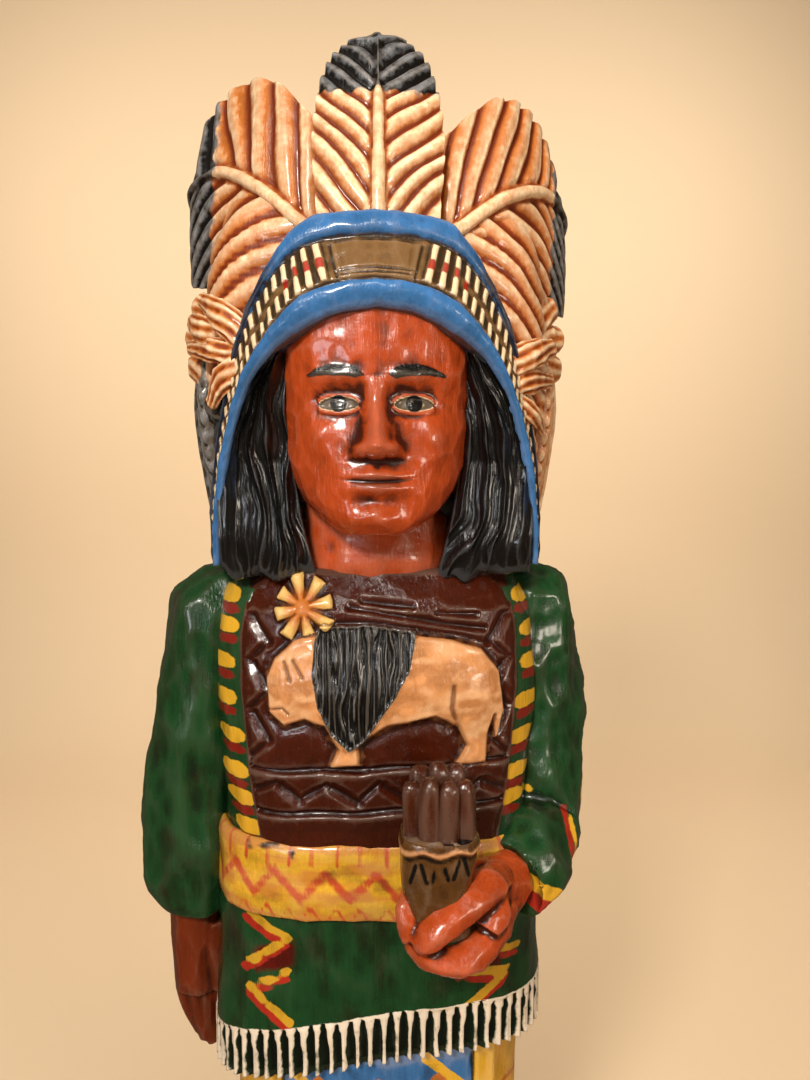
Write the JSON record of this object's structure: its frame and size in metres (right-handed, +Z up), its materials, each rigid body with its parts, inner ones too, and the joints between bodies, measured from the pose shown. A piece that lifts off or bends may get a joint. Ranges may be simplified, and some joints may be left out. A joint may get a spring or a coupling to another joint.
{
  "type": "cigar store figure",
  "caption": "Standing carved wooden shop figure in a feather bonnet and fringed tunic, holding a bundle of cigars, on a low round base.",
  "frame": {"origin": "centre of the base's flat underside, on the floor", "axes": "+Z up, from the base to the tip of the front feather; -Y the way the figure faces; +X to the right of someone who looks at its front"},
  "size_m": [0.5693, 0.503, 1.8281],
  "materials": {
    "painted_wood": "painted in several colours, antiqued and varnished to a gloss"
  },
  "bodies": {
    "root": {"carved_figure": "painted_wood"}
  },
  "joints": []
}
